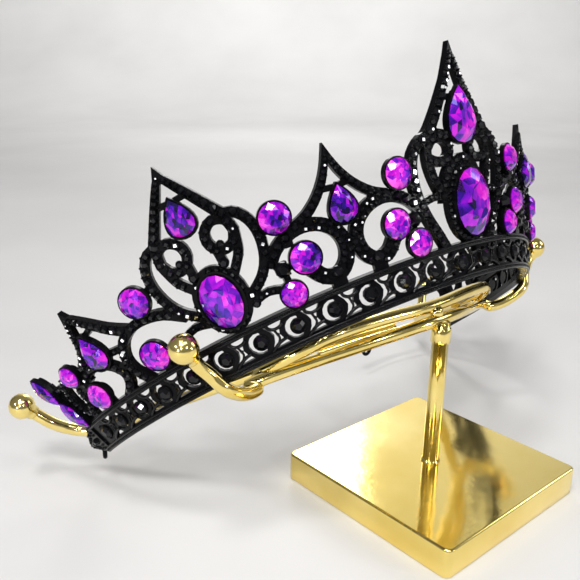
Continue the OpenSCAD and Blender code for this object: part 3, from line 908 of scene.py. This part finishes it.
balls = Build()
for side in (1, -1):
    for tip, before in ((BACK_BALL, BACK_WIRE[-2]), (FRONT_BALL, FRONT_WIRE[-2])):
        end = Vector((tip[0] * side, tip[1], tip[2]))
        start = Vector((before[0] * side, before[1], before[2]))
        lathe(balls, end, end - start, ball_profile(BALL_D / 2, ROD_D / 2 + 0.05))
balls.done("cradle_balls", GOLD, "gilt", "stand_cradle")


def solder_joint(build, at, r, seed):
    """A lumpy drop."""
    local = random.Random(seed)
    waves = [(Vector([local.uniform(-1, 1) for _ in range(3)]).normalized(), local.uniform(0, 6))
             for _ in range(5)]
    rows, cols = 14, 22
    verts = []
    for i in range(rows + 1):
        a = math.pi * (i + 0.02) / (rows + 0.04)
        for j in range(cols):
            b = 2 * math.pi * j / cols
            n = Vector((math.sin(a) * math.cos(b), math.sin(a) * math.sin(b), math.cos(a)))
            k = 1 + 0.05 * sum(math.sin(3 * n.dot(w) + p) for w, p in waves) / 2
            verts.append(Vector(at) + n * r * k)
    faces = [tuple(range(cols)), tuple(reversed([rows * cols + j for j in range(cols)]))]
    for i in range(rows):
        for j in range(cols):
            e = (j + 1) % cols
            faces.append((i * cols + j, (i + 1) * cols + j, (i + 1) * cols + e, i * cols + e))
    build.add(verts, faces, smooth=True)


welds = Build()
for place, r, seed in SOLDER:
    solder_joint(welds, place, r, seed)
welds.done("cradle_solder", GOLD, "gilt", "stand_cradle")

POST_R = POST_D / 2
COLLAR = ROD_Z - 6 - BASE_T         # where the post's collar starts, above the foot
post = Build()
lathe(post, (0, 0, BASE_T), (0, 0, 1), [
    (0, POST_R + 0.45), (0.3, POST_R + 0.42), (0.5, POST_R + 0.3), (0.7, POST_R + 0.1), (1.1, POST_R),
    (12, POST_R), (24, POST_R), (COLLAR - 0.05, POST_R), (COLLAR, POST_R + 0.2),
    (ROD_Z - 5.8 - BASE_T, POST_R + 0.4), (ROD_Z - 1.9 - BASE_T, POST_R + 0.4),
    (ROD_Z - 1.65 - BASE_T, POST_R + 0.2), (ROD_Z - 1.6 - BASE_T, POST_R),
    (ROD_Z - 0.2 - BASE_T, POST_R), (ROD_Z - BASE_T, POST_R - 0.3)])
post.done("stand_post_turned", GOLD, "gilt", "stand_cradle")


def rounded_square(side, r, inset, steps=6):
    half = side / 2 - inset
    rr = max(r - inset, 0.3)
    pts = []
    for cx, cy, start in ((1, 1, 0), (-1, 1, 90), (-1, -1, 180), (1, -1, 270)):
        for i in range(steps + 1):
            a = math.radians(start + 90 * i / steps)
            pts.append((cx * (half - rr) + rr * math.cos(a), cy * (half - rr) + rr * math.sin(a)))
    return pts


# the foot's layers: height, and how far its edge is drawn in there
FOOT_LAYERS = [(0.0, 0.35), (0.12, 0.1), (0.35, 0.0), (BASE_T - 0.6, 0.0), (BASE_T - 0.3, 0.08),
               (BASE_T - 0.1, 0.3), (BASE_T, 0.6)]
verts = [Vector((x, y, z)) for z, inset in FOOT_LAYERS
         for x, y in rounded_square(BASE_SIDE, BASE_CORNER, inset)]
n = len(verts) // len(FOOT_LAYERS)
foot = Build()
foot.add(verts, skin(len(FOOT_LAYERS), n), smooth=True)
foot.add(verts[:n], [tuple(reversed(range(n)))])
foot.add(verts[-n:], [tuple(range(n))])
foot.done("stand_foot_block", FOOT_GOLD, "gilt", "stand_foot")

# ---------------------------------------------------------------- stage, light and camera, in metres
FLOOR_NEAR, FLOOR_FAR, FLOOR_HALF = -5.0, 1.1, 5.0
SWEEP_R, WALL_TOP = 0.6, 2.2
AWAY, ACROSS = Vector((0.656, 0.754, 0)), Vector((0.754, -0.656, 0))


def floor():
    """A pale floor that sweeps up into a wall behind the object."""
    mat, nt, bsdf = new_material("pale_floor")
    patches = noise(nt, coords(nt), 6, 3)
    shades = [(0.3, (0.60, 0.59, 0.58)), (0.7, (0.66, 0.65, 0.64))]
    nt.links.new(ramp(nt, patches, shades), bsdf.inputs["Base Color"])
    fixed(bsdf, Roughness=0.6)
    prof = [(FLOOR_NEAR, 0.0), (FLOOR_FAR, 0.0)]
    steps = 12
    for i in range(1, steps + 1):
        a = math.pi / 2 * i / steps
        prof.append((FLOOR_FAR + SWEEP_R * math.sin(a), SWEEP_R - SWEEP_R * math.cos(a)))
    prof.append((FLOOR_FAR + SWEEP_R, WALL_TOP))
    verts = [AWAY * d + ACROSS * s + Vector((0, 0, z)) for d, z in prof for s in (-FLOOR_HALF, FLOOR_HALF)]
    faces = [(2 * i, 2 * i + 1, 2 * i + 3, 2 * i + 2) for i in range(len(prof) - 1)]
    me = bpy.data.meshes.new("studio_floor")
    me.from_pydata(verts, [], faces)
    for p in me.polygons:
        p.use_smooth = True
    me.materials.append(mat)
    link("studio_floor", me)


floor()

CENTRE = (0.0, 0.03, 0.05)
# name, place, target, size, watts; key and crown stand where the round stones' upper facets flash
LAMPS = [
    ("key", (-0.478, -0.275, 0.74), CENTRE, (0.17, 0.17), 2.8),
    ("crown", (-0.329, -0.03, 0.869), CENTRE, (0.13, 0.13), 2.0),
    ("side", (0.62, -0.32, 0.42), CENTRE, (0.3, 0.3), 1.0),
    ("rim", (0.5, 0.65, 0.5), CENTRE, (0.25, 0.5), 1.8),
    ("overhead", (-0.08, -0.36, 0.78), CENTRE, (0.3, 0.2), 0.8),
    ("wall_high", (0.5, 0.6, 1.1), (1.25, 1.45, 1.0), (1.2, 0.8), 11.5),
    ("wall", (0.62, 0.75, 0.75), (1.2, 1.4, 0.2), (1.4, 0.5), 4.2)]
# small bright lamps that wake the facets
SPARKLES = [(-0.52, -0.42, 0.36), (-0.12, -0.70, 0.46), (-0.72, 0.10, 0.42), (0.30, -0.60, 0.22),
            (-0.35, -0.30, 0.62), (-0.62, -0.20, 0.16)]
LAMPS += [("sparkle_%d" % i, at, CENTRE, (0.05, 0.05), 0.7) for i, at in enumerate(SPARKLES)]
for name, at, target, size, power in LAMPS:
    lamp = bpy.data.lights.new(name, "AREA")
    lamp.shape = "RECTANGLE"
    lamp.size, lamp.size_y = size
    lamp.energy = power
    ob = link(name, lamp)
    ob.location = at
    ob.rotation_euler = (Vector(target) - Vector(at)).to_track_quat("-Z", "Y").to_euler()

scene = bpy.context.scene
scene.view_settings.view_transform = "Standard"
scene.world = bpy.data.worlds.new("studio")
scene.world.use_nodes = True
background = scene.world.node_tree.nodes["Background"]
background.inputs["Color"].default_value = (0.92, 0.93, 0.95, 1)
background.inputs["Strength"].default_value = 0.22

# the photograph's camera: turned about the object, raised and rolled; focal length in pixels, place in mm
TURN, RAISE, ROLL = math.radians(-41.07), math.radians(18.25), math.radians(0.81)
FOCAL_PX, PICTURE_PX = 725.3, 580
CAMERA_AT = Vector((-150.93, -110.85, 118.97)) * MM
back = Vector((math.sin(TURN) * math.cos(RAISE), -math.cos(TURN) * math.cos(RAISE), math.sin(RAISE)))
level = Vector((math.cos(TURN), math.sin(TURN), 0))
upright = back.cross(level)
right = level * math.cos(ROLL) + upright * math.sin(ROLL)
up = upright * math.cos(ROLL) - level * math.sin(ROLL)
cam = bpy.data.cameras.new("camera")
cam.sensor_width = 36
cam.sensor_fit = "HORIZONTAL"
cam.lens = 36 * FOCAL_PX / PICTURE_PX
cam.clip_start = 0.01
cam.clip_end = 20
cam_ob = link("camera", cam)
cam_ob.matrix_world = Matrix(((right.x, up.x, back.x, CAMERA_AT.x), (right.y, up.y, back.y, CAMERA_AT.y),
                              (right.z, up.z, back.z, CAMERA_AT.z), (0, 0, 0, 1)))
scene.camera = cam_ob
